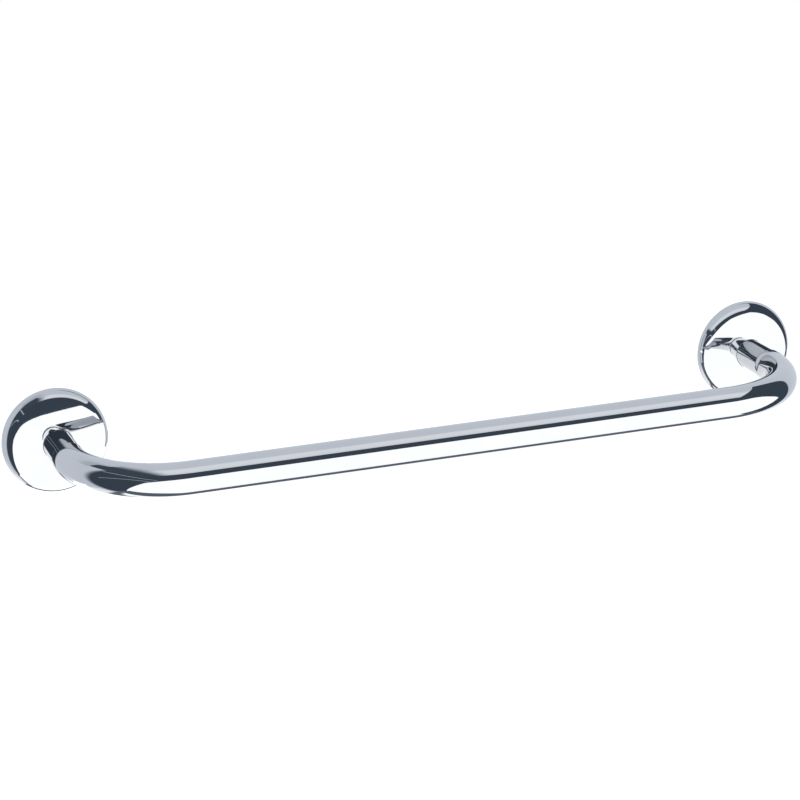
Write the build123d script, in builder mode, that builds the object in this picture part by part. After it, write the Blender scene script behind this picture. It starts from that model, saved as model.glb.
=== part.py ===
from build123d import *
import math
import os

# A chromed wall rail for towels: one bent tube carried by two turned posts. Each post stands in a plate
# that is screwed to the wall, and a domed rose slides along the post to cover that plate.
# Millimetres. X runs along the bar, Y into the wall, Z up. The origin lies on the wall, midway between
# the two posts and level with their axes.

# Rail
fixing_centres = 410.0  # from one post's axis to the other's
standoff = 88.0  # from the wall to the bar's axis
tube_diameter = 18.0
tube_wall = 1.2
bend_radius = 52.0  # of the tube's axis
tube_tail = 2.7  # straight tube past each bend
tube_end_round = 0.5

# Posts
post_diameter = 16.8
spigot_clearance = 0.05  # radial, filled by the brazing
spigot_nose = 6.0  # the taper that leads the spigot into the tube
spigot_tip_diameter = 10.0
shoulder_chamfer = 0.3

# Roses
rose_diameter = 58.0
rose_height = 10.2  # from the wall to the crown that the face would have without its bore
rose_shoulder_radius = 7.0  # of the round edge from the domed face down to the wall
rose_wall = 1.2
rose_bore_clearance = 0.08  # radial, so that the rose slides on the post
rose_bore_round = 0.12

# Seals that hold the roses against the wall
seal_section = 1.4
seal_clearance = 0.02  # to the groove's floor, its sides and the rose

# Wall plates
plate_diameter = 47.0
plate_thickness = 2.0
plate_edge_chamfer = 0.5
hub_diameter = 26.0
hub_clearance = 0.5  # from the hub to the inside of the rose
socket_clearance = 0.1  # radial, round the post
socket_chamfer = 0.4
wall_screw_spacing = 35.0
wall_screw_hole_diameter = 5.0

# Set screws that lock the posts in the hubs
grub_diameter = 4.0
grub_hole_clearance = 0.05  # radial
grub_recess = 0.4  # below the hub's outside
grub_tip_diameter = 2.4
grub_tip_reach = 0.8  # into the post
grub_seat_clearance = 0.2
grub_key_width = 2.0  # across the flats of the hexagon socket
grub_key_depth = 1.8

# Sizes that follow
tube_radius = tube_diameter / 2
tube_bore_radius = tube_radius - tube_wall
bend_start = standoff - bend_radius
tube_end = bend_start - tube_tail
post_radius = post_diameter / 2
spigot_radius = tube_bore_radius - spigot_clearance
rose_radius = rose_diameter / 2
rose_bore_radius = post_radius + rose_bore_clearance
neck_radius = rose_bore_radius + rose_wall
shoulder_centre = rose_radius - rose_shoulder_radius
face_rise = rose_height - rose_shoulder_radius
face_radius = (shoulder_centre**2 + rose_height**2 - rose_shoulder_radius**2) / (2 * face_rise)
face_centre = rose_height - face_radius
shoulder_turn = math.degrees(math.acos(shoulder_centre / (face_radius - rose_shoulder_radius)))
hub_radius = hub_diameter / 2
socket_radius = post_radius + socket_clearance


def sphere_height(sphere_radius, radius):
    """Height above the wall of a sphere about the face's centre, at a distance from the post's axis."""
    return face_centre + math.sqrt(sphere_radius**2 - radius**2)


def face_height(radius):
    """Height of the outside of the rose's face."""
    return sphere_height(face_radius, radius)


def face_inside(radius):
    """Height of the inside of the rose's face."""
    return sphere_height(face_radius - rose_wall, radius)


hub_height = face_inside(hub_radius) - hub_clearance
neck_end = hub_height + hub_clearance
seal_height = (neck_end + face_height(rose_bore_radius)) / 2
groove_radius = rose_bore_radius - seal_section - 2 * seal_clearance
groove_half_width = seal_section / 2 + seal_clearance
grub_height = (plate_thickness + hub_height) / 2
grub_start = socket_radius + grub_hole_clearance
grub_end = hub_radius - grub_recess
seat_radius = grub_tip_diameter / 2 + grub_seat_clearance
seat_floor = post_radius - grub_tip_reach - grub_seat_clearance


def side_plane(centre):
    """Section through one post: local X is the distance from its axis, local Y the distance from the wall."""
    return Plane(origin=(centre, 0, 0), x_dir=(1, 0, 0), z_dir=(0, 0, -1))


def wall_plane(centre):
    """The wall at one post, looking out of it: local X runs along the bar, local Y up."""
    return Plane(origin=(centre, 0, 0), x_dir=(1, 0, 0), z_dir=(0, -1, 0))


def post_axis(centre):
    return Axis((centre, 0, 0), (0, -1, 0))


def grub_plane(centre, outward, reach):
    """A plane square to a set screw's axis, at a reach from the post's axis, facing outward."""
    return Plane(origin=(centre + outward * reach, -grub_height, 0), x_dir=(0, 0, 1), z_dir=(outward, 0, 0))


def save(piece, name):
    piece.part.label = name
    export_step(piece.part, f"parts/{name}.step")


os.makedirs("parts", exist_ok=True)
half_span = fixing_centres / 2
sides = {"left": -1, "right": 1}

# The rail: one tube, bent square at both ends
with BuildPart() as rail_tube:
    with BuildLine() as route:
        FilletPolyline(
            (-half_span, -tube_end),
            (-half_span, -standoff),
            (half_span, -standoff),
            (half_span, -tube_end),
            radius=bend_radius,
        )
    with BuildSketch(Plane(origin=(-half_span, -tube_end, 0), x_dir=(1, 0, 0), z_dir=(0, -1, 0))):
        Circle(tube_radius)
        Circle(tube_bore_radius, mode=Mode.SUBTRACT)
    sweep(path=route.wires()[0])
    end_faces = rail_tube.faces().filter_by(Axis.Y).sort_by(Axis.Y)[-2:]
    end_rims = [face.outer_wire().edges()[0] for face in end_faces]
    fillet(end_rims, tube_end_round)
save(rail_tube, "rail_tube")

set_screws = []
for side, outward in sides.items():
    centre = outward * half_span

    # A turned post: plain shank, groove for the seal, and a spigot that enters the tube
    with BuildPart() as post:
        with BuildSketch(side_plane(centre)):
            with BuildLine():
                Polyline(
                    (0, plate_thickness),
                    (post_radius, plate_thickness),
                    (post_radius, seal_height - groove_half_width),
                    (groove_radius, seal_height - groove_half_width),
                    (groove_radius, seal_height + groove_half_width),
                    (post_radius, seal_height + groove_half_width),
                    (post_radius, tube_end - shoulder_chamfer),
                    (post_radius - shoulder_chamfer, tube_end),
                    (spigot_radius, tube_end),
                    (spigot_radius, bend_start),
                    (spigot_tip_diameter / 2, bend_start + spigot_nose),
                    (0, bend_start + spigot_nose),
                    close=True,
                )
            make_face()
        revolve(axis=post_axis(centre))
        with BuildSketch(grub_plane(centre, outward, seat_floor)):
            Circle(seat_radius)
        extrude(amount=post_radius - seat_floor, mode=Mode.SUBTRACT)
    save(post, f"{side}_post")

    # A domed rose: a thin shell with a round shoulder and a neck turned in round the post
    with BuildPart() as rose:
        with BuildSketch(side_plane(centre)) as rose_section:
            with BuildLine():
                shoulder = CenterArc((shoulder_centre, 0), rose_shoulder_radius, 0, shoulder_turn)
                middle = (shoulder_centre + rose_bore_radius) / 2
                crown = (rose_bore_radius, face_height(rose_bore_radius))
                ThreePointArc(shoulder @ 1, (middle, face_height(middle)), crown)
                neck = Polyline(
                    crown,
                    (rose_bore_radius, neck_end),
                    (neck_radius, neck_end),
                    (neck_radius, face_inside(neck_radius)),
                )
                lining = CenterArc((shoulder_centre, 0), rose_shoulder_radius - rose_wall, 0, shoulder_turn)
                ThreePointArc(neck @ 1, (middle, face_inside(middle)), lining @ 1)
                Line(lining @ 0, shoulder @ 0)
            make_face()
            fillet(rose_section.vertices().sort_by_distance(crown)[0], rose_bore_round)
        revolve(axis=post_axis(centre))
    save(rose, f"{side}_rose")

    # A rubber ring in the post's groove, which grips the rose's neck
    with BuildPart() as seal:
        with BuildSketch(side_plane(centre)):
            with Locations((groove_radius + seal_clearance + seal_section / 2, seal_height)):
                Circle(seal_section / 2)
        revolve(axis=post_axis(centre))
    save(seal, f"{side}_seal")

    # A wall plate: a disc with two screw holes, and a hub with a blind socket for the post
    with BuildPart() as wall_plate:
        with BuildSketch(wall_plane(centre)):
            Circle(plate_diameter / 2)
        extrude(amount=plate_thickness)
        chamfer(wall_plate.edges().sort_by(Axis.Y)[0], plate_edge_chamfer)
        with BuildSketch(wall_plane(centre).offset(plate_thickness)):
            Circle(hub_radius)
        extrude(amount=hub_height - plate_thickness)
        with BuildSketch(wall_plane(centre).offset(plate_thickness)):
            Circle(socket_radius)
        extrude(amount=hub_height - plate_thickness, mode=Mode.SUBTRACT)
        hub_face = wall_plate.faces().sort_by(Axis.Y)[0]
        chamfer(hub_face.inner_wires()[0].edges(), socket_chamfer)
        with BuildSketch(wall_plane(centre)):
            with GridLocations(0, wall_screw_spacing, 1, 2):
                Circle(wall_screw_hole_diameter / 2)
        extrude(amount=plate_thickness, mode=Mode.SUBTRACT)
        with BuildSketch(grub_plane(centre, outward, post_radius)):
            Circle(grub_diameter / 2 + grub_hole_clearance)
        extrude(amount=hub_diameter / 2, mode=Mode.SUBTRACT)
    save(wall_plate, f"{side}_wall_plate")

    # A set screw with a dog point and a hexagon socket
    with BuildPart() as set_screw:
        with BuildSketch(grub_plane(centre, outward, grub_start)):
            Circle(grub_diameter / 2)
        extrude(amount=grub_end - grub_start)
        with BuildSketch(grub_plane(centre, outward, post_radius - grub_tip_reach)):
            Circle(grub_tip_diameter / 2)
        extrude(amount=grub_start - post_radius + grub_tip_reach)
        with BuildSketch(grub_plane(centre, outward, grub_end)):
            RegularPolygon(grub_key_width / 2, side_count=6, major_radius=False)
        extrude(amount=-grub_key_depth, mode=Mode.SUBTRACT)
    set_screws.append(set_screw.part)

# The set screws are alike and share one node
with BuildPart() as grub_screws:
    add(set_screws)
save(grub_screws, "grub_screws")
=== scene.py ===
"""Chromed wall towel rail: finishes, smooth meshes for the plated pieces, and the studio they are seen in.

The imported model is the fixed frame. Its hidden pieces keep their own meshes and get a finish. The plated
pieces, which mirror everything round them, are turned and bent again here with finer, evenly laid faces.
Metres throughout. X runs along the bar, Y into the wall, Z up.
"""

import logging
import math
from dataclasses import dataclass, field
from enum import Enum
from typing import List, Sequence, Tuple, Union

import bmesh
import bpy
from mathutils import Matrix, Vector


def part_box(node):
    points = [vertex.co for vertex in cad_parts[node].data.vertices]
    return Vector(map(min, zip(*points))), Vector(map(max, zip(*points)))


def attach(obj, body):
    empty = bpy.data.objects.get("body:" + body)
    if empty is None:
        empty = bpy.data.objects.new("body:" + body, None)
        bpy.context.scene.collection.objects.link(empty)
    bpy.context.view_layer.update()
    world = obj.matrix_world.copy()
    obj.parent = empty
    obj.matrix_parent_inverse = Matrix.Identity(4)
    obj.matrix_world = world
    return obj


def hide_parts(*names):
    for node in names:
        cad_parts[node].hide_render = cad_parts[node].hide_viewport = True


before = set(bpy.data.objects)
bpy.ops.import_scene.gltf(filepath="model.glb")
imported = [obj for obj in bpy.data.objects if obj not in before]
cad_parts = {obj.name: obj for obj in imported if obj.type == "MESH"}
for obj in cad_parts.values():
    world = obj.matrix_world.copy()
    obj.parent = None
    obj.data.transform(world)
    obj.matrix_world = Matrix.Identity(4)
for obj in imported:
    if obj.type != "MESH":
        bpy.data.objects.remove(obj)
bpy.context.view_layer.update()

LOG = logging.getLogger("towel_rail")
BODY = "root"
MM = 0.001
SHARP_EDGE_ANGLE = math.radians(38.0)
STUDIO_STRENGTH = 1.4286  # of all that the chrome mirrors, which makes up for what the plate swallows

Colour = Tuple[float, float, float]
Point = Tuple[float, float]
Input = Union[float, Sequence[float], bpy.types.NodeSocket]

QUARTER_TURN = 90.0
HALF_TURN = 180.0
WELD_DISTANCE = 1e-7
MIX_FIRST, MIX_SECOND, MIX_RESULT = 6, 7, 2  # the Mix node's colour sockets, whose names others share
BACK_CLOTH: Colour = (0.55, 0.58, 0.63)
DARK_ROOM: Colour = (0.040, 0.054, 0.072)
WHITE_CARD: Colour = (1.16, 1.16, 1.16)


class Side(Enum):
    """The two ends of the rail, by the sign of X."""

    LEFT = -1
    RIGHT = 1

    @property
    def label(self) -> str:
        """The word that the end's nodes start with."""
        return self.name.lower()


class Slot(Enum):
    """The finishes that the record names."""

    CHROME = "chrome"
    RUBBER = "seal_rubber"
    PLATED = "plated_steel"
    SCREW = "screw_steel"


class Axis(Enum):
    """The axes, by the names that a vector's coordinates have."""

    X = "X"
    Y = "Y"
    Z = "Z"


class NodeSheet:
    """A node tree being laid out, with short calls for what the finishes and the studio share."""

    def __init__(self, tree: bpy.types.NodeTree) -> None:
        """Empties the tree.

        Args:
            tree: The node tree of a material or of the world.
        """
        self.tree = tree
        tree.nodes.clear()

    def add(self, kind: str, **settings: object) -> bpy.types.Node:
        """Adds a node.

        Args:
            kind: Blender's type name for the node.
            **settings: Properties to set on it.

        Returns:
            The new node.
        """
        node = self.tree.nodes.new(kind)
        for name, value in settings.items():
            setattr(node, name, value)
        return node

    def feed(self, socket: bpy.types.NodeSocket, value: Input) -> None:
        """Gives an input socket a link or a fixed value.

        Args:
            socket: The input to set.
            value: An output socket, a number, or the numbers of a colour or vector.
        """
        if isinstance(value, bpy.types.NodeSocket):
            self.tree.links.new(value, socket)
        elif isinstance(value, (int, float)):
            socket.default_value = value
        else:
            numbers = tuple(value)
            wanted = len(socket.default_value)
            socket.default_value = numbers + (1.0,) * (wanted - len(numbers))

    def math(
        self, operation: str, first: Input, second: Input = 0.0, third: Input = 0.0
    ) -> bpy.types.NodeSocket:
        """Adds a Math node.

        Args:
            operation: The node's operation.
            first: First operand.
            second: Second operand, where the operation has one.
            third: Third operand, where the operation has one.

        Returns:
            The result.
        """
        node = self.add("ShaderNodeMath", operation=operation)
        for socket, value in zip(node.inputs, (first, second, third)):
            self.feed(socket, value)
        return node.outputs["Value"]

    def step(self, value: Input, low: Input, high: Input) -> bpy.types.NodeSocket:
        """A soft step.

        Args:
            value: What is compared.
            low: Where the step is still 0.
            high: Where it has reached 1.

        Returns:
            A number from 0 to 1.
        """
        node = self.add("ShaderNodeMapRange", interpolation_type="SMOOTHSTEP")
        for name, given in (("Value", value), ("From Min", low), ("From Max", high)):
            self.feed(node.inputs[name], given)
        return node.outputs["Result"]

    def spread(self, value: Input, low: float, high: float) -> bpy.types.NodeSocket:
        """Maps 0 to 1 on a range.

        Args:
            value: A number from 0 to 1.
            low: Result at 0.
            high: Result at 1.

        Returns:
            The mapped number.
        """
        node = self.add("ShaderNodeMapRange")
        self.feed(node.inputs["Value"], value)
        self.feed(node.inputs["To Min"], low)
        self.feed(node.inputs["To Max"], high)
        return node.outputs["Result"]

    def mix(self, share: Input, first: Input, second: Input) -> bpy.types.NodeSocket:
        """Mixes two colours.

        Args:
            share: 0 for the first colour, 1 for the second.
            first: A colour.
            second: A colour.

        Returns:
            The mixed colour.
        """
        node = self.add("ShaderNodeMix", data_type="RGBA")
        self.feed(node.inputs["Factor"], share)
        self.feed(node.inputs[MIX_FIRST], first)
        self.feed(node.inputs[MIX_SECOND], second)
        return node.outputs[MIX_RESULT]

    def noise(self, where: bpy.types.NodeSocket, scale: float, detail: float = 3.0) -> bpy.types.NodeSocket:
        """Adds cloudy noise.

        Args:
            where: Coordinates.
            scale: Cells per metre.
            detail: Octaves.

        Returns:
            A number from 0 to 1, mostly near 0.5.
        """
        node = self.add("ShaderNodeTexNoise")
        self.feed(node.inputs["Vector"], where)
        self.feed(node.inputs["Scale"], scale)
        self.feed(node.inputs["Detail"], detail)
        return node.outputs["Fac"]

    def place(self) -> bpy.types.NodeSocket:
        """Coordinates on the piece, in metres."""
        return self.add("ShaderNodeTexCoord").outputs["Object"]

    def dot(self, vector: bpy.types.NodeSocket, other: Sequence[float]) -> bpy.types.NodeSocket:
        """Multiplies a vector with a fixed one.

        Args:
            vector: A vector.
            other: The fixed vector.

        Returns:
            Their dot product.
        """
        node = self.add("ShaderNodeVectorMath", operation="DOT_PRODUCT")
        self.feed(node.inputs[0], vector)
        self.feed(node.inputs[1], other)
        return node.outputs["Value"]

    def bump(self, height: bpy.types.NodeSocket, depth: float) -> bpy.types.NodeSocket:
        """Turns a height into a normal.

        Args:
            height: A number from 0 to 1.
            depth: Height of 1, in metres.

        Returns:
            The bent normal.
        """
        node = self.add("ShaderNodeBump")
        self.feed(node.inputs["Distance"], depth)
        self.feed(node.inputs["Height"], height)
        return node.outputs["Normal"]


class Finish:
    """A surface finish that makes one material and lends it to every piece that asks."""

    slot: Slot

    def material(self) -> bpy.types.Material:
        """Makes the material, or finds it if it is made.

        Returns:
            The material.
        """
        found = bpy.data.materials.get(self.slot.value)
        if found is not None and found.get("dressed"):
            return found
        made = bpy.data.materials.new(self.slot.value)
        made["dressed"] = True
        made.use_nodes = True
        sheet = NodeSheet(made.node_tree)
        shader = sheet.add("ShaderNodeBsdfPrincipled")
        output = sheet.add("ShaderNodeOutputMaterial")
        sheet.feed(output.inputs["Surface"], shader.outputs["BSDF"])
        self.lay(sheet, shader)
        return made

    def lay(self, sheet: NodeSheet, shader: bpy.types.Node) -> None:
        """Lays out the finish on its shader.

        Args:
            sheet: The material's nodes.
            shader: The Principled shader to feed.
        """
        raise NotImplementedError

    def dress(self, piece: bpy.types.Object) -> None:
        """Puts the finish on a piece.

        Args:
            piece: A mesh object.
        """
        piece.data.materials.clear()
        piece.data.materials.append(self.material())


@dataclass(frozen=True)
class ChromePlate(Finish):
    """Bright chrome plate: a cool mirror with the faint haze and ripple that polishing leaves."""

    slot: Slot = Slot.CHROME
    tint: Colour = (0.602, 0.616, 0.637)
    worn_tint: Colour = (0.581, 0.599, 0.623)
    clear_roughness: float = 0.025
    hazy_roughness: float = 0.06
    haze_scale: float = 70.0
    haze_detail: float = 5.0
    haze_span: Point = (0.35, 0.75)
    ripple_scale: float = 45.0
    ripple_detail: float = 1.0
    ripple_depth: float = 0.000004

    def lay(self, sheet: NodeSheet, shader: bpy.types.Node) -> None:
        """Lays out the plate: cool tint, cloudy haze, and a ripple finer than the eye follows.

        Args:
            sheet: The material's nodes.
            shader: The Principled shader to feed.
        """
        where = sheet.place()
        haze = sheet.step(sheet.noise(where, self.haze_scale, self.haze_detail), *self.haze_span)
        sheet.feed(shader.inputs["Metallic"], 1.0)
        sheet.feed(shader.inputs["Base Color"], sheet.mix(haze, self.tint, self.worn_tint))
        sheet.feed(shader.inputs["Roughness"], sheet.spread(haze, self.clear_roughness, self.hazy_roughness))
        ripple = sheet.noise(where, self.ripple_scale, self.ripple_detail)
        sheet.feed(shader.inputs["Normal"], sheet.bump(ripple, self.ripple_depth))


@dataclass(frozen=True)
class SealRubber(Finish):
    """Matt black rubber with a bloom that greys it in patches."""

    slot: Slot = Slot.RUBBER
    black: Colour = (0.022, 0.022, 0.024)
    bloom: Colour = (0.055, 0.055, 0.058)
    roughness: Tuple[float, float] = (0.55, 0.78)
    grain_scale: float = 2600.0
    grain_depth: float = 0.00002

    def lay(self, sheet: NodeSheet, shader: bpy.types.Node) -> None:
        """Lays out the rubber: black with grey bloom and a fine grain.

        Args:
            sheet: The material's nodes.
            shader: The Principled shader to feed.
        """
        where = sheet.place()
        bloom = sheet.noise(where, self.grain_scale / 8, 4.0)
        sheet.feed(shader.inputs["Base Color"], sheet.mix(bloom, self.black, self.bloom))
        sheet.feed(shader.inputs["Roughness"], sheet.spread(bloom, *self.roughness))
        grain = sheet.noise(where, self.grain_scale, 2.0)
        sheet.feed(shader.inputs["Normal"], sheet.bump(grain, self.grain_depth))


@dataclass(frozen=True)
class SatinSteel(Finish):
    """Steel with a satin surface: zinc plate in small spangles, or plain steel with an oily bloom."""

    slot: Slot = Slot.PLATED
    light: Colour = (0.66, 0.67, 0.68)
    dark: Colour = (0.50, 0.51, 0.53)
    roughness: Tuple[float, float] = (0.30, 0.48)
    spangle_scale: float = 420.0
    grain_scale: float = 1800.0
    grain_depth: float = 0.000015

    def lay(self, sheet: NodeSheet, shader: bpy.types.Node) -> None:
        """Lays out the steel: spangles in colour and roughness, and a fine grain.

        Args:
            sheet: The material's nodes.
            shader: The Principled shader to feed.
        """
        where = sheet.place()
        spangles = sheet.add("ShaderNodeTexVoronoi")
        sheet.feed(spangles.inputs["Vector"], where)
        sheet.feed(spangles.inputs["Scale"], self.spangle_scale)
        patch = sheet.add("ShaderNodeSeparateColor")
        sheet.feed(patch.inputs["Color"], spangles.outputs["Color"])
        tone = patch.outputs["Red"]
        sheet.feed(shader.inputs["Metallic"], 1.0)
        sheet.feed(shader.inputs["Base Color"], sheet.mix(tone, self.dark, self.light))
        sheet.feed(shader.inputs["Roughness"], sheet.spread(tone, *self.roughness))
        grain = sheet.noise(where, self.grain_scale, 3.0)
        sheet.feed(shader.inputs["Normal"], sheet.bump(grain, self.grain_depth))


CHROME = ChromePlate()
RUBBER = SealRubber()
ZINC = SatinSteel()
SCREW_STEEL = SatinSteel(
    slot=Slot.SCREW,
    light=(0.46, 0.46, 0.47),
    dark=(0.34, 0.34, 0.35),
    roughness=(0.32, 0.5),
    spangle_scale=1500.0,
)


def arc(centre: Point, radii: Point, start: float, end: float, steps: int) -> List[Point]:
    """Points along an arc of a circle or an ellipse.

    Args:
        centre: The arc's centre.
        radii: Its half axes along the two coordinates.
        start: First angle in degrees, from the first coordinate's axis.
        end: Last angle in degrees.
        steps: Number of chords.

    Returns:
        The points, both ends among them.
    """
    turn = math.radians(end - start) / steps
    angles = [math.radians(start) + turn * number for number in range(steps + 1)]
    return [(centre[0] + radii[0] * math.cos(a), centre[1] + radii[1] * math.sin(a)) for a in angles]


def mesh_piece(name: str, verts: List[Vector], faces: List[Tuple[int, ...]]) -> bpy.types.Object:
    """Makes a smooth mesh object that rides on the rail.

    Args:
        name: The piece's name.
        verts: Its points, in metres.
        faces: Its faces, as point numbers.

    Returns:
        The new object, in the scene.
    """
    mesh = bpy.data.meshes.new(name)
    mesh.from_pydata([tuple(v) for v in verts], [], faces)
    work = bmesh.new()
    work.from_mesh(mesh)
    bmesh.ops.remove_doubles(work, verts=work.verts, dist=WELD_DISTANCE)
    bmesh.ops.recalc_face_normals(work, faces=work.faces)
    for face in work.faces:
        face.smooth = True
    for edge in work.edges:
        edge.smooth = edge.calc_face_angle(0.0) < SHARP_EDGE_ANGLE
    work.to_mesh(mesh)
    work.free()
    piece = bpy.data.objects.new(name, mesh)
    bpy.context.scene.collection.objects.link(piece)
    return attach(piece, BODY)


def turned_piece(name: str, profile: Sequence[Point], centre: float, segments: int) -> bpy.types.Object:
    """Turns a closed profile about a post's axis.

    Args:
        name: The piece's name.
        profile: Points of distance from the axis and height above the wall, round the section once.
        centre: X of the axis.
        segments: Faces round the axis.

    Returns:
        The new object.
    """
    verts: List[Vector] = []
    for number in range(segments):
        angle = math.tau * number / segments
        across, up = math.cos(angle), math.sin(angle)
        verts += [Vector((centre + r * across, -h, r * up)) for r, h in profile]
    count = len(profile)
    faces = []
    for number in range(segments):
        here, there = number * count, (number + 1) % segments * count
        for step in range(count):
            following = (step + 1) % count
            corners = (here + step, here + following, there + following, there + step)
            faces.append(corners)
    return mesh_piece(name, verts, faces)


@dataclass
class RailTube:
    """The one bent tube: a straight bar, two square bends, and a short tail past each bend."""

    node: str = "rail_tube"
    wall: float = 1.2 * MM
    bend_radius: float = 52.0 * MM
    end_round: float = 0.5 * MM
    segments: int = 144
    bend_steps: int = 72
    bar_steps: int = 24
    tail_steps: int = 4
    round_steps: int = 6
    radius: float = field(init=False)
    half_span: float = field(init=False)
    standoff: float = field(init=False)
    tail_end: float = field(init=False)

    def __post_init__(self) -> None:
        """Reads the tube's section and route from its place in the frame."""
        low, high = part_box(self.node)
        self.radius = (high.z - low.z) / 2
        self.half_span = high.x - self.radius
        self.standoff = -low.y - self.radius
        self.tail_end = -high.y

    def route(self) -> List[Tuple[Vector, Vector]]:
        """The tube's axis from the left end to the right one.

        Returns:
            Points on the axis, each with the direction of travel.
        """
        bend_start = self.standoff - self.bend_radius
        corner = self.half_span - self.bend_radius
        stops: List[Tuple[Vector, Vector]] = []
        for number in range(self.tail_steps):
            height = self.tail_end + (bend_start - self.tail_end) * number / self.tail_steps
            stops.append((Vector((-self.half_span, -height, 0.0)), Vector((0.0, -1.0, 0.0))))
        for number in range(self.bend_steps):
            turn = math.pi / 2 * number / self.bend_steps
            x = -corner - self.bend_radius * math.cos(turn)
            y = -bend_start - self.bend_radius * math.sin(turn)
            stops.append((Vector((x, y, 0.0)), Vector((math.sin(turn), -math.cos(turn), 0.0))))
        for number in range(self.bar_steps // 2):
            x = corner * (2 * number / self.bar_steps - 1)
            stops.append((Vector((x, -self.standoff, 0.0)), Vector((1.0, 0.0, 0.0))))
        middle = (Vector((0.0, -self.standoff, 0.0)), Vector((1.0, 0.0, 0.0)))
        right_half = [self.mirrored(stop) for stop in reversed(stops)]
        return stops + [middle] + right_half

    @staticmethod
    def mirrored(stop: Tuple[Vector, Vector]) -> Tuple[Vector, Vector]:
        """The same stop on the other half of the route."""
        place, travel = stop
        return Vector((-place.x, place.y, 0.0)), Vector((travel.x, -travel.y, 0.0))

    def end_rings(self, stop: Tuple[Vector, Vector]) -> List[Tuple[Vector, Vector, float]]:
        """Rings that round the tube's outer edge over at its right end.

        Args:
            stop: The last point of the axis, with the direction of travel.

        Returns:
            Centre, direction and radius of each ring, from the outside inward.
        """
        place, travel = stop
        rings = []
        corner = (self.radius - self.end_round, -self.end_round)
        for r, along in arc(corner, (self.end_round, self.end_round), 0.0, QUARTER_TURN, self.round_steps):
            rings.append((place + travel * along, travel, r))
        return rings

    def build(self) -> bpy.types.Object:
        """Bends the tube as one closed skin, outside and bore.

        Returns:
            The new piece.
        """
        route = self.route()
        bore = self.radius - self.wall
        right_end = self.end_rings(route[-1])
        left_end = [(p, -t, r) for p, t, r in self.end_rings((route[0][0], -route[0][1]))]
        rings = list(reversed(left_end))
        rings += [(place, travel, self.radius) for place, travel in route[1:-1]]
        rings += right_end
        rings += [(place, travel, bore) for place, travel in reversed(route)]
        verts: List[Vector] = []
        for place, travel, radius in rings:
            across = Vector((travel.y, -travel.x, 0.0))
            for number in range(self.segments):
                angle = math.tau * number / self.segments
                outward = across * math.cos(angle) + Vector((0.0, 0.0, math.sin(angle)))
                verts.append(place + radius * outward)
        faces = []
        for ring in range(len(rings)):
            here, there = ring * self.segments, (ring + 1) % len(rings) * self.segments
            for number in range(self.segments):
                following = (number + 1) % self.segments
                faces.append((here + number, here + following, there + following, there + number))
        piece = mesh_piece("bent_tube", verts, faces)
        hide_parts(self.node)
        CHROME.dress(piece)
        return piece


@dataclass
class Post:
    """A turned post: plain shank with a groove for the seal, and a spigot that enters the tube."""

    side: Side
    tube: RailTube
    shoulder_chamfer: float = 0.3 * MM
    spigot_clearance: float = 0.05 * MM
    spigot_tip_radius: float = 5.0 * MM
    groove_clearance: float = 0.02 * MM
    segments: int = 192
    shank_steps: int = 12
    radius: float = field(init=False)
    centre: float = field(init=False)
    foot: float = field(init=False)
    tip: float = field(init=False)

    @property
    def node(self) -> str:
        """The post's name in the frame."""
        return f"{self.side.label}_post"

    def __post_init__(self) -> None:
        """Reads the post's place from the frame."""
        low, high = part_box(self.node)
        self.radius = (high.z - low.z) / 2
        self.centre = (high.x + low.x) / 2
        self.foot = -high.y
        self.tip = -low.y

    def profile(self) -> List[Point]:
        """The post's section, from the foot on the axis to the tip on the axis.

        Returns:
            Points of distance from the axis and height above the wall.
        """
        low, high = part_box(f"{self.side.label}_seal")
        seal_foot = -high.y - self.groove_clearance
        seal_head = -low.y + self.groove_clearance
        section = seal_head - seal_foot
        seal_outer = (high.z - low.z) / 2
        groove_radius = seal_outer - section + self.groove_clearance
        spigot = self.tube.radius - self.tube.wall - self.spigot_clearance
        shoulder = self.tube.tail_end
        bend_start = self.tube.standoff - self.tube.bend_radius
        shank = [
            (self.radius, seal_head + (shoulder - self.shoulder_chamfer - seal_head) * n / self.shank_steps)
            for n in range(self.shank_steps + 1)
        ]
        return [
            (0.0, self.foot),
            (self.radius, self.foot),
            (self.radius, seal_foot),
            (groove_radius, seal_foot),
            (groove_radius, seal_head),
            *shank,
            (self.radius - self.shoulder_chamfer, shoulder),
            (spigot, shoulder),
            (spigot, bend_start),
            (self.spigot_tip_radius, self.tip),
            (0.0, self.tip),
        ]

    def build(self) -> bpy.types.Object:
        """Turns the post.

        Returns:
            The new piece.
        """
        piece = turned_piece(f"{self.side.label}_turned_post", self.profile(), self.centre, self.segments)
        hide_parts(self.node)
        CHROME.dress(piece)
        return piece


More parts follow.
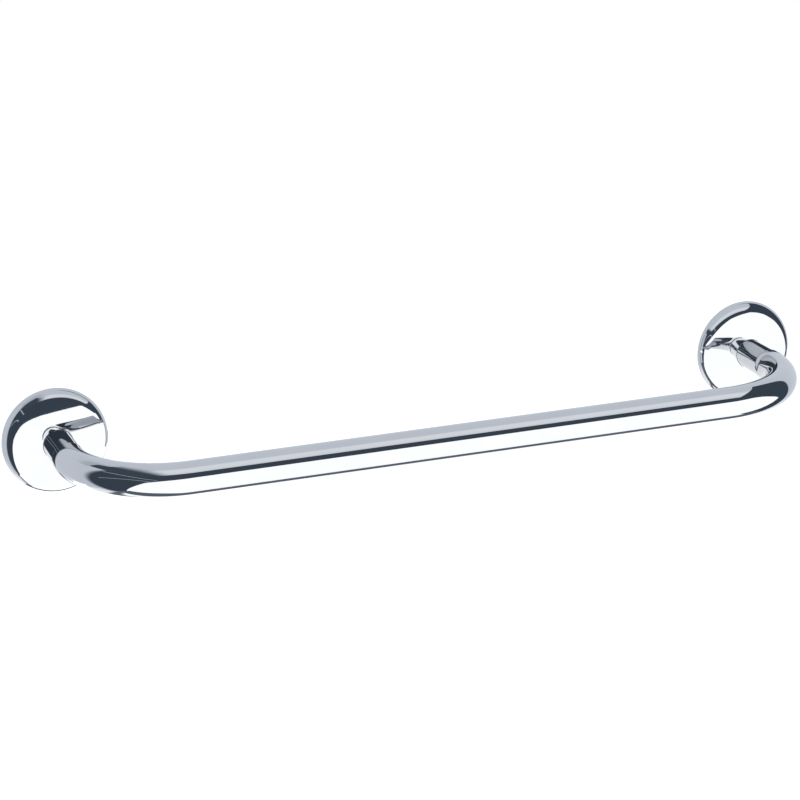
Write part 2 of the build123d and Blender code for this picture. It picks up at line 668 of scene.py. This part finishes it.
@dataclass
class Rose:
    """A domed cover: a thin pressed shell with a round shoulder, and a neck turned in round the post."""

    side: Side
    crown: float = 10.2 * MM
    shoulder_radius: float = 7.0 * MM
    wall: float = 1.2 * MM
    bore_clearance: float = 0.08 * MM
    bore_round: float = 0.12 * MM
    hub_clearance: float = 0.5 * MM
    segments: int = 288
    face_steps: int = 32
    shoulder_steps: int = 40
    round_steps: int = 6
    face_guard: float = 0.02 * MM
    centre: float = field(init=False)
    radius: float = field(init=False)
    bore: float = field(init=False)
    neck_end: float = field(init=False)

    @property
    def node(self) -> str:
        """The rose's name in the frame."""
        return f"{self.side.label}_rose"

    def __post_init__(self) -> None:
        """Reads the rose's outline, bore and neck from the frame."""
        low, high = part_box(self.node)
        self.radius = (high.z - low.z) / 2
        self.centre = (high.x + low.x) / 2
        low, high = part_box(f"{self.side.label}_post")
        self.bore = (high.z - low.z) / 2 + self.bore_clearance
        low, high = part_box(f"{self.side.label}_wall_plate")
        self.neck_end = -low.y + self.hub_clearance

    @property
    def shoulder_middle(self) -> float:
        """Distance from the axis to the middle of the shoulder's arc, which lies on the wall."""
        return self.radius - self.shoulder_radius

    @property
    def face_radius(self) -> float:
        """Radius of the domed face that runs smoothly into the shoulder."""
        spare = self.crown**2 - self.shoulder_radius**2
        return (self.shoulder_middle**2 + spare) / (2 * (self.crown - self.shoulder_radius))

    def shell(self, inset: float, face_end: float) -> List[Point]:
        """One side of the shell, from the wall up the shoulder and along the face towards the bore.

        Args:
            inset: Depth below the outside, 0 for the outside itself.
            face_end: Angle in degrees at which the face stops, about its own middle.

        Returns:
            Points of distance from the axis and height above the wall.
        """
        turn = math.degrees(math.acos(self.shoulder_middle / (self.face_radius - self.shoulder_radius)))
        shoulder = self.shoulder_radius - inset
        face = self.face_radius - inset
        points = arc((self.shoulder_middle, 0.0), (shoulder, shoulder), 0.0, turn, self.shoulder_steps)
        face_middle = (0.0, self.crown - self.face_radius)
        guard = math.degrees(self.face_guard / face)
        points += arc(face_middle, (face, face), turn, face_end - guard, self.face_steps)[1:]
        return points + arc(face_middle, (face, face), face_end - guard, face_end, 1)[1:]

    def profile(self) -> List[Point]:
        """The shell's section, round once.

        Returns:
            Points of distance from the axis and height above the wall.
        """
        lip_middle = self.bore + self.bore_round
        lip_end = math.acos(lip_middle / (self.face_radius - self.bore_round))
        lip_height = self.crown - self.face_radius + (self.face_radius - self.bore_round) * math.sin(lip_end)
        lip_start = math.degrees(lip_end)
        round_off = (self.bore_round, self.bore_round)
        lip = arc((lip_middle, lip_height), round_off, lip_start, HALF_TURN, self.round_steps)
        neck = self.bore + self.wall
        inside = self.shell(self.wall, math.degrees(math.acos(neck / (self.face_radius - self.wall))))
        foot = [(self.bore, self.neck_end), (neck, self.neck_end)]
        return self.shell(0.0, lip_start) + lip[1:] + foot + list(reversed(inside))

    def build(self) -> bpy.types.Object:
        """Presses the shell.

        Returns:
            The new piece.
        """
        piece = turned_piece(f"{self.side.label}_cover_rose", self.profile(), self.centre, self.segments)
        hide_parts(self.node)
        CHROME.dress(piece)
        return piece


@dataclass
class WallFixing:
    """What the rose covers: the screwed plate with its hub, and the ring that grips the rose."""

    side: Side

    def build(self) -> List[bpy.types.Object]:
        """Dresses the plate and the ring.

        Returns:
            The dressed nodes.
        """
        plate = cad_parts[f"{self.side.label}_wall_plate"]
        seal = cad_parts[f"{self.side.label}_seal"]
        ZINC.dress(plate)
        RUBBER.dress(seal)
        return [plate, seal]


@dataclass
class SetScrews:
    """The two set screws that lock the posts in their hubs."""

    node: str = "grub_screws"

    def build(self) -> bpy.types.Object:
        """Dresses the screws.

        Returns:
            Their node.
        """
        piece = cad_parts[self.node]
        SCREW_STEEL.dress(piece)
        return piece


@dataclass(frozen=True)
class Chink:
    """A thin gap between the dark cloths in front, through which light shows. Angles are in degrees.

    The gap droops to both sides of its crest, by the droop times the square of the azimuth from there.
    """

    crest: Point
    droop: float
    ends: Point
    half_width: float = 0.8
    light: Colour = (0.42, 0.46, 0.52)

    def blend(
        self,
        sheet: NodeSheet,
        azimuth: bpy.types.NodeSocket,
        elevation: bpy.types.NodeSocket,
        colour: Input,
    ) -> bpy.types.NodeSocket:
        """Lets the light show.

        Args:
            sheet: The world's nodes.
            azimuth: The direction's azimuth.
            elevation: The direction's elevation.
            colour: The cloth's colour.

        Returns:
            The colour with the gap in it.
        """
        aside = sheet.math("SUBTRACT", azimuth, self.crest[0])
        sag = sheet.math("MULTIPLY", sheet.math("MULTIPLY", aside, aside), self.droop)
        above = sheet.math("SUBTRACT", sheet.math("ADD", elevation, sag), self.crest[1])
        near = sheet.step(sheet.math("ABSOLUTE", above), self.half_width * 1.5, self.half_width * 0.5)
        begun = sheet.step(azimuth, self.ends[0] - self.half_width, self.ends[0] + self.half_width)
        going = sheet.step(azimuth, self.ends[1] + self.half_width, self.ends[1] - self.half_width)
        shown = sheet.math("MULTIPLY", near, sheet.math("MULTIPLY", begun, going))
        return sheet.mix(shown, colour, self.light)


@dataclass(frozen=True)
class StudioTent:
    """The far room that the chrome mirrors, by direction. Angles are in degrees.

    Azimuth 0 points out of the wall, and azimuth grows to the right. The room in front is dark with a few
    chinks of light, the floor below is white, and grey cloth hangs behind the rail. Floor and cloth meet
    along a straight dark seam. The camera sees plain white.
    """

    back_cloth: Colour = BACK_CLOTH
    low_cloth: Colour = (0.86, 0.87, 0.89)
    floor: Colour = (1.10, 1.10, 1.10)
    dark: Colour = DARK_ROOM
    seam: Colour = (0.12, 0.135, 0.16)
    fill: Colour = (0.72, 0.72, 0.73)
    dark_left: Point = (-118.0, -95.0)
    dark_right: float = 102.0
    dark_right_bow: float = 0.012
    dark_bottom: float = -60.0
    dark_top: float = 66.0
    low_cloth_span: Point = (-50.0, -25.0)
    floor_side: Tuple[float, float, float] = (0.762, -0.492, -0.421)
    seam_half_width: float = 0.05
    seam_soft: float = 0.03
    soft: float = 2.5
    chinks: Tuple[Chink, ...] = (
        Chink(crest=(-82.0, 43.0), droop=0.0076, ends=(-106.0, -24.0)),
        Chink(crest=(-55.0, 19.5), droop=0.0147, ends=(-84.0, -31.0)),
    )

    def build(self) -> bpy.types.World:
        """Makes the world.

        Returns:
            The world, set on the scene.
        """
        world = bpy.data.worlds.new("studio_tent")
        world.use_nodes = True
        bpy.context.scene.world = world
        sheet = NodeSheet(world.node_tree)
        light = sheet.add("ShaderNodeLightPath").outputs
        mirrored = sheet.add("ShaderNodeBackground")
        sheet.feed(mirrored.inputs["Color"], self.pattern(sheet))
        sheet.feed(mirrored.inputs["Strength"], STUDIO_STRENGTH)
        plain = sheet.add("ShaderNodeBackground")
        sheet.feed(plain.inputs["Color"], self.fill)
        white = sheet.add("ShaderNodeBackground")
        sheet.feed(white.inputs["Color"], (1.0, 1.0, 1.0))
        glossy = self.choose(sheet, light["Is Glossy Ray"], plain, mirrored)
        seen = sheet.math("MAXIMUM", light["Is Camera Ray"], light["Is Transmission Ray"])
        final = self.choose(sheet, seen, glossy, white)
        output = sheet.add("ShaderNodeOutputWorld")
        sheet.feed(output.inputs["Surface"], final.outputs["Shader"])
        return world

    @staticmethod
    def choose(
        sheet: NodeSheet, share: Input, first: bpy.types.Node, second: bpy.types.Node
    ) -> bpy.types.Node:
        """Mixes two background shaders.

        Args:
            sheet: The world's nodes.
            share: 0 for the first shader, 1 for the second.
            first: A background or mix node.
            second: A background or mix node.

        Returns:
            The mix node.
        """
        node = sheet.add("ShaderNodeMixShader")
        sheet.feed(node.inputs[0], share)
        sheet.feed(node.inputs[1], first.outputs[0])
        sheet.feed(node.inputs[2], second.outputs[0])
        return node

    def below(self, sheet: NodeSheet, value: Input, level: Input) -> bpy.types.NodeSocket:
        """How far a value lies below a level, with a soft edge.

        Args:
            sheet: The world's nodes.
            value: What is compared.
            level: The level.

        Returns:
            A number from 0 to 1.
        """
        gap = sheet.math("SUBTRACT", level, value)
        return sheet.step(gap, -self.soft / 2, self.soft / 2)

    def pattern(self, sheet: NodeSheet) -> bpy.types.NodeSocket:
        """The mirrored room.

        Args:
            sheet: The world's nodes.

        Returns:
            Its colour by direction.
        """
        direction = sheet.add("ShaderNodeTexCoord").outputs["Generated"]
        parts = sheet.add("ShaderNodeSeparateXYZ")
        sheet.feed(parts.inputs["Vector"], direction)
        x, y, z = (parts.outputs[axis.value] for axis in Axis)
        azimuth = sheet.math("DEGREES", sheet.math("ARCTAN2", x, sheet.math("MULTIPLY", y, -1.0)))
        elevation = sheet.math("DEGREES", sheet.math("ARCSINE", z))
        bow = sheet.math("MULTIPLY", elevation, elevation)
        right = sheet.math("MULTIPLY_ADD", bow, self.dark_right_bow, self.dark_right)
        past_left = sheet.step(azimuth, *self.dark_left)
        across = sheet.math("MULTIPLY", past_left, self.below(sheet, azimuth, right))
        over = self.below(sheet, self.dark_bottom, elevation)
        under = self.below(sheet, elevation, self.dark_top)
        in_front = sheet.math("MULTIPLY", across, sheet.math("MULTIPLY", over, under))
        dark: Input = self.dark
        for chink in self.chinks:
            dark = chink.blend(sheet, azimuth, elevation, dark)
        low = self.low_part(sheet, direction)
        cloth = sheet.mix(sheet.step(elevation, *self.low_cloth_span), low, self.back_cloth)
        return sheet.mix(in_front, cloth, dark)

    def low_part(self, sheet: NodeSheet, direction: bpy.types.NodeSocket) -> bpy.types.NodeSocket:
        """What lies low down: the white floor, its straight far seam, and brightly lit cloth past that.

        Args:
            sheet: The world's nodes.
            direction: Where the mirrored ray goes.

        Returns:
            Its colour.
        """
        inside = sheet.dot(direction, self.floor_side)
        plain = sheet.mix(sheet.step(inside, -self.seam_soft, self.seam_soft), self.low_cloth, self.floor)
        away = sheet.math("ABSOLUTE", inside)
        span = (self.seam_half_width - self.seam_soft, self.seam_half_width + self.seam_soft)
        return sheet.mix(sheet.step(away, *span), self.seam, plain)


@dataclass(frozen=True)
class Fade:
    """A change of colour at an edge of a card, along X, Y or Z.

    The span runs from the place of the full fade to the place where the card's own colour is reached.
    """

    axis: Axis
    colour: Colour
    span: Point

    def blend(self, sheet: NodeSheet, place: bpy.types.Node, colour: Input) -> bpy.types.NodeSocket:
        """Lays the fade over a colour.

        Args:
            sheet: The card's nodes.
            place: A node that gives the place on the card by axis.
            colour: The card's colour.

        Returns:
            The colour with the fade.
        """
        start, end = self.span
        past = sheet.math("SUBTRACT", place.outputs[self.axis.value], start)
        return sheet.mix(sheet.step(sheet.math("DIVIDE", past, end - start), 0.0, 1.0), self.colour, colour)


@dataclass(frozen=True)
class MirrorCard:
    """A flat card close to the rail that only mirrors show.

    The corners run round the card, each as x, y and z in metres.
    """

    name: str
    colour: Colour
    corners: Tuple[Tuple[float, float, float], ...]
    fades: Tuple[Fade, ...] = ()

    def build(self) -> bpy.types.Object:
        """Hangs the card.

        Returns:
            The card.
        """
        mesh = bpy.data.meshes.new(self.name)
        mesh.from_pydata(self.corners, [], [tuple(range(len(self.corners)))])
        card = bpy.data.objects.new(self.name, mesh)
        bpy.context.scene.collection.objects.link(card)
        card.visible_camera = False
        card.visible_diffuse = False
        card.visible_transmission = False
        card.visible_shadow = False
        mesh.materials.append(self.material())
        return card

    def material(self) -> bpy.types.Material:
        """Evenly lit card, with its fades.

        Returns:
            The material.
        """
        made = bpy.data.materials.new(self.name)
        made.use_nodes = True
        sheet = NodeSheet(made.node_tree)
        place = sheet.add("ShaderNodeSeparateXYZ")
        sheet.feed(place.inputs["Vector"], sheet.place())
        colour: Input = self.colour
        for fade in self.fades:
            colour = fade.blend(sheet, place, colour)
        face = sheet.add("ShaderNodeEmission")
        sheet.feed(face.inputs["Color"], colour)
        sheet.feed(face.inputs["Strength"], STUDIO_STRENGTH)
        output = sheet.add("ShaderNodeOutputMaterial")
        sheet.feed(output.inputs["Surface"], face.outputs[0])
        return made


def upright(y: float, outline: Sequence[Point]) -> Tuple[Tuple[float, float, float], ...]:
    """Corners of a card that stands parallel to the wall.

    Args:
        y: Its place.
        outline: Its corners as x and z.

    Returns:
        The corners in space.
    """
    return tuple((x, y, z) for x, z in outline)


def level(z: float, outline: Sequence[Point]) -> Tuple[Tuple[float, float, float], ...]:
    """Corners of a card that lies level.

    Args:
        z: Its height.
        outline: Its corners as x and y.

    Returns:
        The corners in space.
    """
    return tuple((x, y, z) for x, y in outline)


SCREEN_OUTLINE: Tuple[Point, ...] = (
    (-0.298, 0.000),
    (-0.285, 0.012),
    (-0.268, 0.022),
    (-0.245, 0.031),
    (-0.216, 0.039),
    (-0.165, 0.046),
    (-0.110, 0.051),
    (0.000, 0.057),
    (0.121, 0.062),
    (0.200, 0.068),
    (0.280, 0.083),
    (0.340, 0.092),
    (0.385, 0.085),
    (0.426, 0.073),
    (0.606, -0.012),
    (1.130, -0.231),
    (2.310, -0.738),
    (2.310, -0.780),
    (-0.680, -0.780),
    (-0.560, -0.500),
    (-0.490, -0.350),
    (-0.425, -0.215),
    (-0.375, -0.125),
    (-0.347, -0.075),
    (-0.325, -0.040),
)
STRIP_OUTLINE: Tuple[Point, ...] = (
    (-0.350, -0.163),
    (-0.285, -0.153),
    (-0.200, -0.144),
    (-0.165, -0.129),
    (-0.130, -0.104),
    (-0.080, -0.098),
    (0.360, -0.098),
    (0.360, 0.060),
    (-0.120, 0.060),
    (-0.180, 0.016),
    (-0.213, -0.014),
    (-0.285, -0.060),
    (-0.350, -0.090),
)
EAVE_OUTLINE: Tuple[Point, ...] = (
    (-0.290, -0.013),
    (-0.235, -0.013),
    (-0.225, -0.032),
    (-0.205, -0.035),
    (-0.205, 0.060),
    (-0.290, 0.060),
)
LEFT_ROSE: Point = (-0.205, 0.0)
RIM_SHADE_OUTLINE = (
    *arc(LEFT_ROSE, (0.033, 0.041), -128.0, 0.0, 24),
    *arc(LEFT_ROSE, (0.0285, 0.0285), 0.0, -128.0, 24),
)
LEFT_SILL_OUTLINE: Tuple[Point, ...] = (
    (-0.248, -0.040),
    (-0.100, -0.040),
    (-0.100, 0.100),
    (-0.225, 0.100),
    (-0.225, -0.008),
    (-0.248, -0.008),
)
RIGHT_SILL_OUTLINE: Tuple[Point, ...] = (
    (0.110, -0.045),
    (0.205, -0.045),
    (0.205, -0.006),
    (0.185, -0.007),
    (0.155, -0.014),
    (0.110, -0.024),
)
CARDS = (
    MirrorCard("white_screen", WHITE_CARD, upright(-0.25, SCREEN_OUTLINE)),
    MirrorCard(
        "grey_ceiling",
        (0.73, 0.745, 0.775),
        level(0.305, ((-0.46, -0.345), (0.38, -0.345), (0.38, 0.12), (-0.46, 0.12))),
        fades=(
            Fade(Axis.Y, (0.62, 0.64, 0.68), (-0.345, -0.24)),
            Fade(Axis.Y, BACK_CLOTH, (-0.08, -0.135)),
            Fade(Axis.X, (0.045, 0.06, 0.08), (-0.30, -0.195)),
        ),
    ),
    MirrorCard(
        "grey_eave",
        (0.42, 0.44, 0.48),
        level(0.10, EAVE_OUTLINE),
        fades=(
            Fade(Axis.X, BACK_CLOTH, (-0.205, -0.235)),
            Fade(Axis.Y, BACK_CLOTH, (0.045, 0.0)),
        ),
    ),
    MirrorCard(
        "grey_wing",
        BACK_CLOTH,
        ((-0.45, -0.06, -0.35), (-0.45, 0.15, -0.35), (-0.45, 0.15, 0.40), (-0.45, -0.06, 0.40)),
        fades=(Fade(Axis.Y, DARK_ROOM, (-0.06, -0.005)),),
    ),
    MirrorCard("dark_strip", (0.10, 0.115, 0.14), level(-0.25, STRIP_OUTLINE)),
    MirrorCard("left_white_sill", WHITE_CARD, level(-0.05, LEFT_SILL_OUTLINE)),
    MirrorCard("right_white_sill", WHITE_CARD, level(-0.05, RIGHT_SILL_OUTLINE)),
    MirrorCard("rim_shade", (0.05, 0.06, 0.08), upright(0.003, RIM_SHADE_OUTLINE)),
    MirrorCard(
        "white_fin",
        WHITE_CARD,
        (
            (-0.155, -0.0115, -0.032),
            (-0.155, -0.002, -0.032),
            (-0.155, -0.002, 0.006),
            (-0.155, -0.0115, 0.006),
        ),
    ),
)


@dataclass(frozen=True)
class StudioFloor:
    """A plain pale floor well below the rail. It keeps the rail's soft shadow."""

    size: float = 9.0
    depth: float = 0.75
    albedo: float = 0.8
    lift: float = 0.6

    def build(self) -> bpy.types.Object:
        """Lays the floor.

        Returns:
            The floor.
        """
        half = self.size / 2
        corners = [(-half, -half), (half, -half), (half, half), (-half, half)]
        mesh = bpy.data.meshes.new("studio_floor")
        mesh.from_pydata([(x, y, -self.depth) for x, y in corners], [], [(0, 1, 2, 3)])
        floor = bpy.data.objects.new("studio_floor", mesh)
        bpy.context.scene.collection.objects.link(floor)
        floor.visible_glossy = False
        mesh.materials.append(self.material())
        return floor

    def material(self) -> bpy.types.Material:
        """Pale paper that the camera sees as white where nothing shades it.

        Returns:
            The material.
        """
        made = bpy.data.materials.new("floor_paper")
        made.use_nodes = True
        sheet = NodeSheet(made.node_tree)
        light = sheet.add("ShaderNodeLightPath").outputs
        paper = sheet.add("ShaderNodeBsdfDiffuse")
        sheet.feed(paper.inputs["Color"], (self.albedo,) * 3)
        glow = sheet.add("ShaderNodeEmission")
        seen = sheet.math("MAXIMUM", light["Is Camera Ray"], light["Is Transmission Ray"])
        sheet.feed(glow.inputs["Strength"], sheet.math("MULTIPLY", seen, self.lift))
        both = sheet.add("ShaderNodeAddShader")
        sheet.feed(both.inputs[0], paper.outputs[0])
        sheet.feed(both.inputs[1], glow.outputs[0])
        output = sheet.add("ShaderNodeOutputMaterial")
        sheet.feed(output.inputs["Surface"], both.outputs[0])
        return made


@dataclass(frozen=True)
class SoftBox:
    """One large soft lamp overhead. The chrome mirrors the tent and not the lamp."""

    place: Tuple[float, float, float] = (-0.4, -0.5, 1.6)
    size: float = 1.4
    power: float = 9.0

    def build(self) -> bpy.types.Object:
        """Hangs the lamp, pointing at the rail.

        Returns:
            The lamp.
        """
        lamp = bpy.data.lights.new("soft_box", "AREA")
        lamp.shape = "SQUARE"
        lamp.size = self.size
        lamp.energy = self.power
        holder = bpy.data.objects.new("soft_box", lamp)
        holder.location = self.place
        holder.rotation_euler = (-Vector(self.place)).to_track_quat("-Z", "Y").to_euler()
        holder.visible_glossy = False
        holder.visible_camera = False
        bpy.context.scene.collection.objects.link(holder)
        return holder


@dataclass(frozen=True)
class StudioCamera:
    """The camera at the picture's angle, in front of the rail, above it and to its left."""

    azimuth: float = 19.2007
    elevation: float = 18.0992
    roll: float = 1.3714
    distance: float = 1.42684
    aim: Tuple[float, float, float] = (-0.0220434, -0.04, 0.0103058)
    focal_pixels: float = 2621.37
    picture_pixels: float = 800.0
    sensor: float = 36.0

    def build(self) -> bpy.types.Object:
        """Places the camera and makes it the scene's own.

        Returns:
            The camera.
        """
        turn, tilt, roll = (math.radians(a) for a in (self.azimuth, self.elevation, self.roll))
        forward = Vector((math.sin(turn) * math.cos(tilt), math.cos(turn) * math.cos(tilt), -math.sin(tilt)))
        level = Vector((math.cos(turn), -math.sin(turn), 0.0))
        down = forward.cross(level)
        right = level * math.cos(roll) + down * math.sin(roll)
        up = level * math.sin(roll) - down * math.cos(roll)
        data = bpy.data.cameras.new("studio_camera")
        data.sensor_fit = "HORIZONTAL"
        data.sensor_width = self.sensor
        data.lens = self.focal_pixels * self.sensor / self.picture_pixels
        camera = bpy.data.objects.new("studio_camera", data)
        turned = Matrix((right, up, -forward)).transposed().to_4x4()
        camera.matrix_world = Matrix.Translation(Vector(self.aim) - forward * self.distance) @ turned
        bpy.context.scene.collection.objects.link(camera)
        bpy.context.scene.camera = camera
        return camera


def report(*made: bpy.types.Object) -> None:
    """Logs what was built.

    Args:
        *made: Pieces of the rail or of the studio.
    """
    for piece in made:
        faces = len(piece.data.polygons) if piece.type == "MESH" else 0
        LOG.info("%s: %s, %d faces", piece.name, piece.type.lower(), faces)


def main() -> None:
    """Builds the rail's pieces in order, then the studio round them."""
    logging.basicConfig(level=logging.INFO, format="%(name)s: %(message)s")
    bpy.context.scene.view_settings.view_transform = "Standard"
    tube = RailTube()
    report(tube.build())
    for side in Side:
        report(Rose(side).build(), Post(side, tube).build(), *WallFixing(side).build())
    report(SetScrews().build())
    StudioTent().build()
    report(*(card.build() for card in CARDS))
    report(StudioFloor().build(), SoftBox().build(), StudioCamera().build())


if __name__ == "__main__":
    main()
